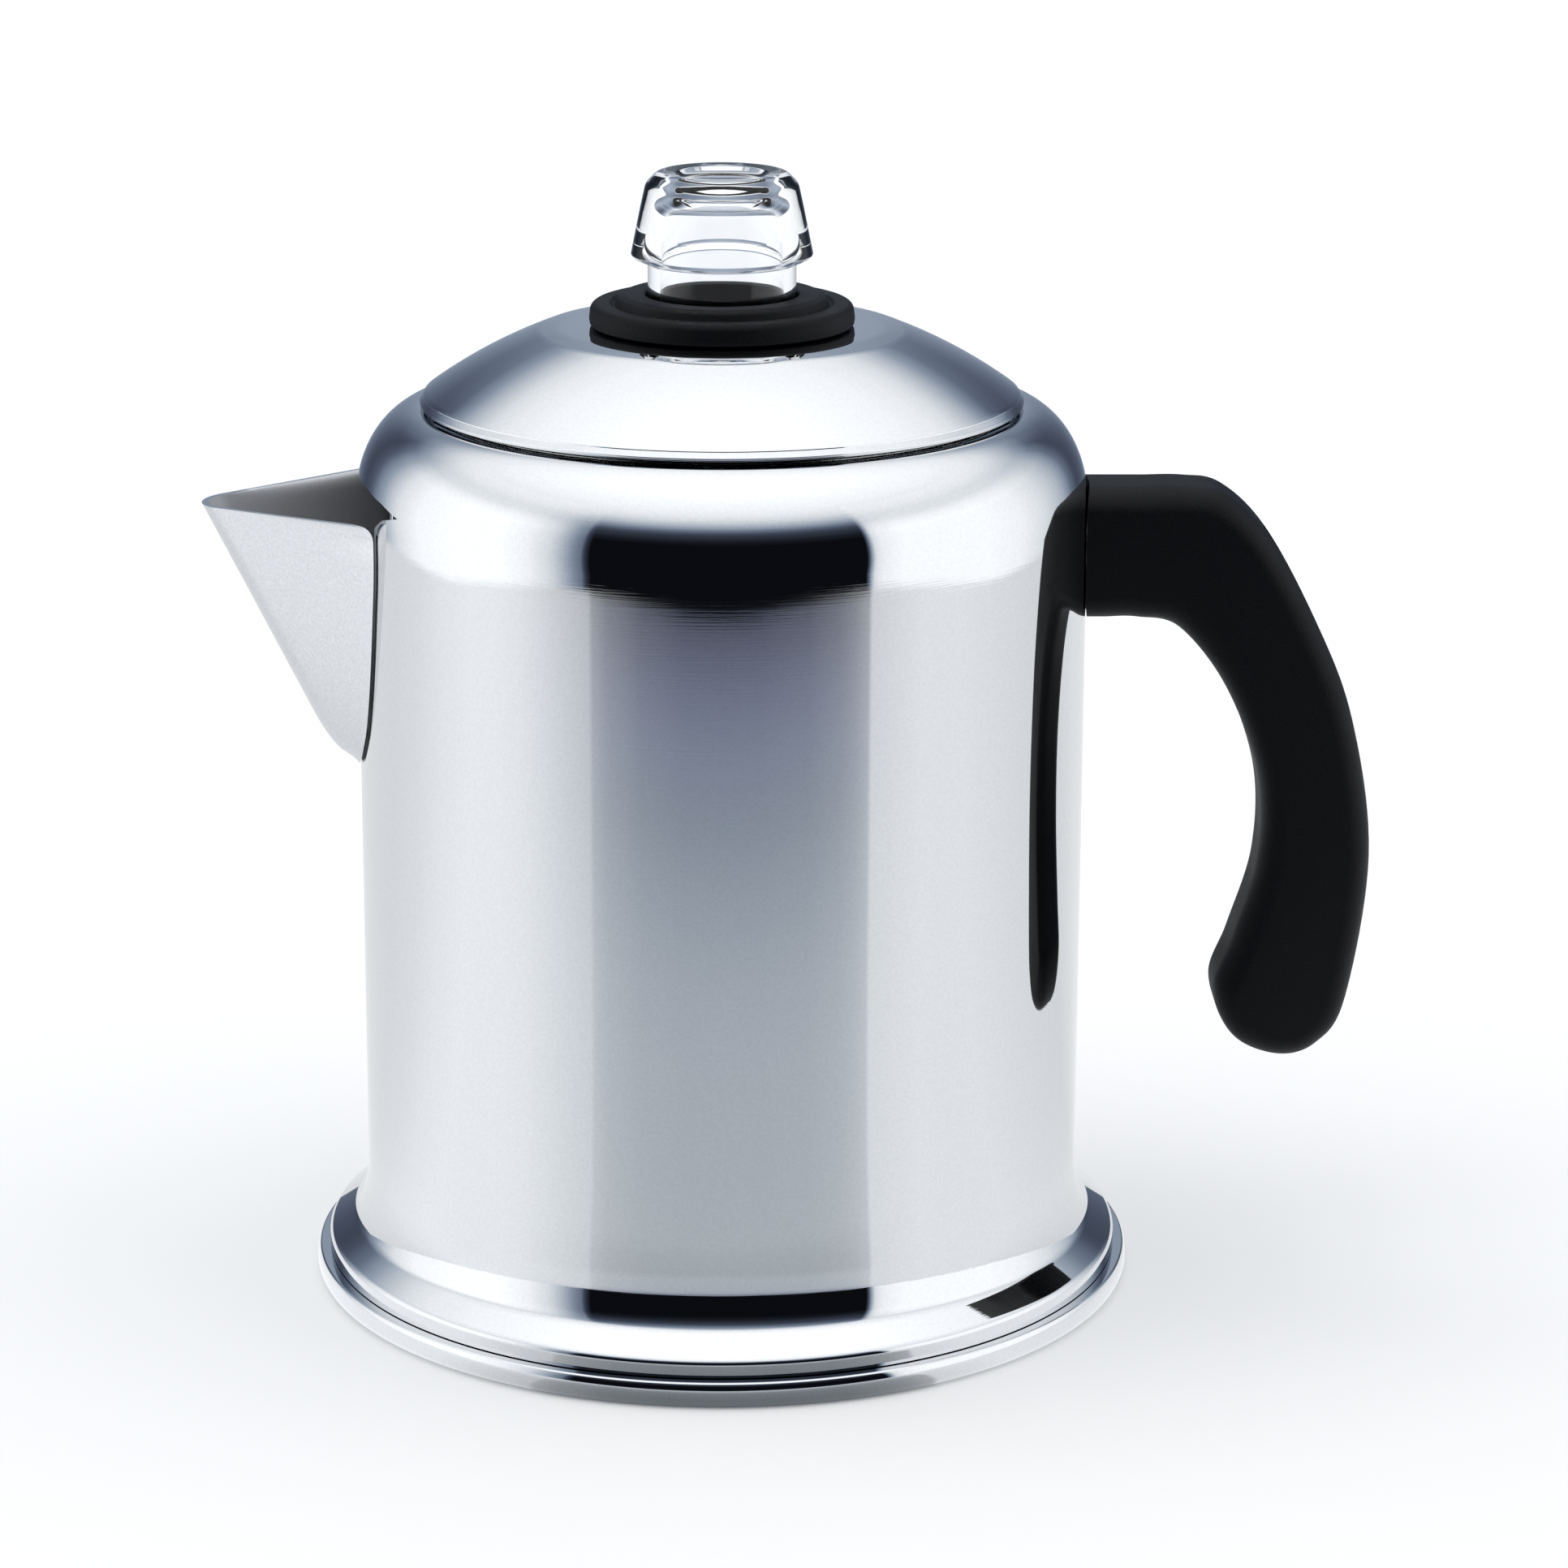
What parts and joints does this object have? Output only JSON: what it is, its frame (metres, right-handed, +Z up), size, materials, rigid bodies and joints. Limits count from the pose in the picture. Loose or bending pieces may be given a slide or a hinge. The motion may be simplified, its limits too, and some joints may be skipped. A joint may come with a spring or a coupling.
{
  "type": "stovetop coffee percolator",
  "caption": "Straight-sided steel stovetop percolator with flared base, V spout, black open handle, lift-out pump and basket, and domed lid with a clear knob.",
  "frame": {"origin": "on the pot's axis, at the flat underside of the base that it stands on", "axes": "+Z up along the pot's axis, +X towards the handle, -X towards the spout, +Y to the right of a person who holds the handle and faces the spout"},
  "size_m": [0.2336, 0.1666, 0.2252],
  "materials": {
    "satin_steel": "mirror-polished stainless steel with very faint polishing lines; the spout is a little softer and its inner faces are satin",
    "polished_steel": "mirror-polished stainless steel",
    "inner_steel": "plain drawn stainless steel, lightly brushed",
    "aluminium": "plain mill finish",
    "black_plastic": "fine-grained matte black heat-proof moulding",
    "clear_plastic": "clear and glossy"
  },
  "bodies": {
    "pot": {"pot_shell": "satin_steel", "base_plate": "polished_steel", "heat_disc": "aluminium", "base_cap": "satin_steel", "spout": "satin_steel", "handle": "black_plastic", "handle_boss": "inner_steel", "handle_washer": "inner_steel", "handle_screw": "inner_steel"},
    "pump": {"pump_tube": "inner_steel", "pump_foot": "inner_steel", "valve_seat": "inner_steel", "basket_stop": "inner_steel"},
    "valve": {"valve_disc": "inner_steel"},
    "basket": {"basket_cup": "inner_steel", "basket_sleeve": "inner_steel"},
    "spreader": {"spreader_plate": "inner_steel", "spreader_hub": "inner_steel"},
    "lid": {"lid_dome": "polished_steel", "lid_skirt": "inner_steel", "lid_collar": "black_plastic", "lock_ring": "inner_steel"},
    "knob": {"knob": "clear_plastic"}
  },
  "joints": [
    {"name": "pump_lift", "type": "slide", "parent": "pot", "child": "pump", "axis": [0, 0, 1], "range_m": [0, 0.18]},
    {"name": "valve_lift", "type": "slide", "parent": "pump", "child": "valve", "axis": [0, 0, 1], "range_m": [0, 0.003]},
    {"name": "basket_lift", "type": "slide", "parent": "pump", "child": "basket", "axis": [0, 0, 1], "range_m": [0, 0.1]},
    {"name": "spreader_lift", "type": "slide", "parent": "basket", "child": "spreader", "axis": [0, 0, 1], "range_m": [0, 0.05]},
    {"name": "lid_lift", "type": "slide", "parent": "spreader", "child": "lid", "axis": [0, 0, 1], "range_m": [0, 0.05]},
    {"name": "knob_twist", "type": "hinge", "parent": "lid", "child": "knob", "pos_m": [0, 0, 0.19], "axis": [0, 0, 1], "range_deg": [0, 60]}
  ]
}
